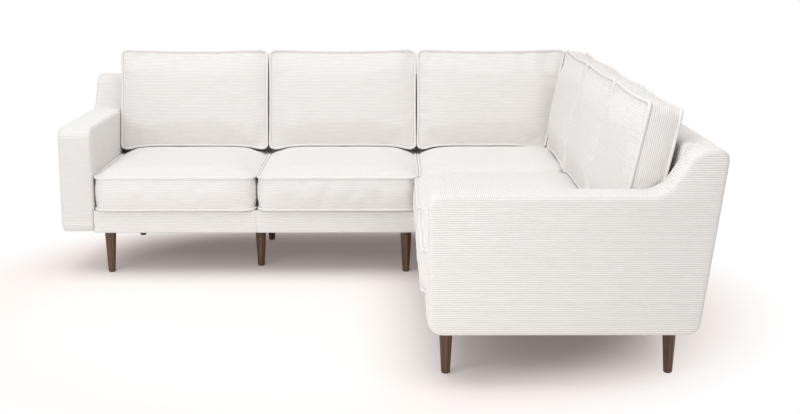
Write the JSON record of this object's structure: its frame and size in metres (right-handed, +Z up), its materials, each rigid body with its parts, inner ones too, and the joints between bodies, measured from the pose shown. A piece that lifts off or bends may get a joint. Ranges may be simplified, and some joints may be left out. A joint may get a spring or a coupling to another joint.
{
  "type": "corner sofa",
  "caption": "L-shaped corner sofa with loose boxed seat and back cushions, slim arms that sweep up to the back, and tapered wooden legs.",
  "frame": {"origin": "on the floor, at the middle of the square that the sofa fills, which is in the open space in front of the seats' inner corner", "axes": "+Z up; the left wing's seats face -Y and the right wing's seats face -X, so the corner seat is towards +X and +Y"},
  "size_m": [2.434, 2.434, 0.905],
  "materials": {
    "cover_cloth": "matte",
    "deck_cloth": "matte",
    "dust_cloth": "matte",
    "webbing": "matte",
    "seat_foam": "matte",
    "frame_wood": "matte",
    "leg_wood": "satin",
    "spring_steel": "satin",
    "fixing_steel": "satin",
    "glide_plastic": "matte"
  },
  "bodies": {
    "frame": {"left_long_rails": "frame_wood", "left_cross_rails": "frame_wood", "left_leg_blocks": "frame_wood", "left_rail_cover": "cover_cloth", "left_springs": "spring_steel", "left_deck_cloth": "deck_cloth", "left_dust_cover": "dust_cloth", "left_back_frame": "frame_wood", "left_back_webbing": "webbing", "left_back_cover": "cover_cloth", "left_arm_frame": "frame_wood", "left_arm_cover": "cover_cloth", "left_arm_bolts": "fixing_steel", "left_legs": "leg_wood", "right_long_rails": "frame_wood", "right_cross_rails": "frame_wood", "right_leg_blocks": "frame_wood", "right_rail_cover": "cover_cloth", "right_springs": "spring_steel", "right_deck_cloth": "deck_cloth", "right_dust_cover": "dust_cloth", "right_back_frame": "frame_wood", "right_back_webbing": "webbing", "right_back_cover": "cover_cloth", "right_arm_frame": "frame_wood", "right_arm_cover": "cover_cloth", "right_arm_bolts": "fixing_steel", "right_legs": "leg_wood", "corner_rails": "frame_wood", "corner_leg_blocks": "frame_wood", "corner_springs": "spring_steel", "corner_deck_cloth": "deck_cloth", "corner_dust_cover": "dust_cloth", "corner_legs": "leg_wood", "corner_back_frame": "frame_wood", "corner_back_webbing": "webbing", "corner_left_back_cover": "cover_cloth", "corner_right_back_cover": "cover_cloth", "leg_plates": "fixing_steel", "leg_hangers": "fixing_steel", "leg_glides": "glide_plastic", "spring_clips": "fixing_steel", "section_connectors": "fixing_steel"},
    "left_end_seat": {"left_end_seat_cover": "cover_cloth", "left_end_seat_core": "seat_foam"},
    "left_end_back": {"left_end_back_cushion": "cover_cloth"},
    "left_inner_seat": {"left_inner_seat_cover": "cover_cloth", "left_inner_seat_core": "seat_foam"},
    "left_inner_back": {"left_inner_back_cushion": "cover_cloth"},
    "right_end_seat": {"right_end_seat_cover": "cover_cloth", "right_end_seat_core": "seat_foam"},
    "right_end_back": {"right_end_back_cushion": "cover_cloth"},
    "right_inner_seat": {"right_inner_seat_cover": "cover_cloth", "right_inner_seat_core": "seat_foam"},
    "right_inner_back": {"right_inner_back_cushion": "cover_cloth"},
    "corner_seat": {"corner_seat_cover": "cover_cloth", "corner_seat_core": "seat_foam"},
    "corner_left_back": {"corner_left_back_cushion": "cover_cloth"},
    "corner_right_back": {"corner_right_back_cushion": "cover_cloth"}
  },
  "joints": [
    {"name": "left_end_seat_lift", "type": "slide", "parent": "frame", "child": "left_end_seat", "axis": [0, 0, 1], "range_m": [0, 0.2]},
    {"name": "left_end_back_lift", "type": "slide", "parent": "left_end_seat", "child": "left_end_back", "axis": [0, 0, 1], "range_m": [0, 0.3]},
    {"name": "left_inner_seat_lift", "type": "slide", "parent": "frame", "child": "left_inner_seat", "axis": [0, 0, 1], "range_m": [0, 0.2]},
    {"name": "left_inner_back_lift", "type": "slide", "parent": "left_inner_seat", "child": "left_inner_back", "axis": [0, 0, 1], "range_m": [0, 0.3]},
    {"name": "right_end_seat_lift", "type": "slide", "parent": "frame", "child": "right_end_seat", "axis": [0, 0, 1], "range_m": [0, 0.2]},
    {"name": "right_end_back_lift", "type": "slide", "parent": "right_end_seat", "child": "right_end_back", "axis": [0, 0, 1], "range_m": [0, 0.3]},
    {"name": "right_inner_seat_lift", "type": "slide", "parent": "frame", "child": "right_inner_seat", "axis": [0, 0, 1], "range_m": [0, 0.2]},
    {"name": "right_inner_back_lift", "type": "slide", "parent": "right_inner_seat", "child": "right_inner_back", "axis": [0, 0, 1], "range_m": [0, 0.3]},
    {"name": "corner_seat_lift", "type": "slide", "parent": "frame", "child": "corner_seat", "axis": [0, 0, 1], "range_m": [0, 0.2]},
    {"name": "corner_left_back_lift", "type": "slide", "parent": "corner_seat", "child": "corner_left_back", "axis": [0, 0, 1], "range_m": [0, 0.3]},
    {"name": "corner_right_back_lift", "type": "slide", "parent": "corner_seat", "child": "corner_right_back", "axis": [0, 0, 1], "range_m": [0, 0.3]}
  ]
}
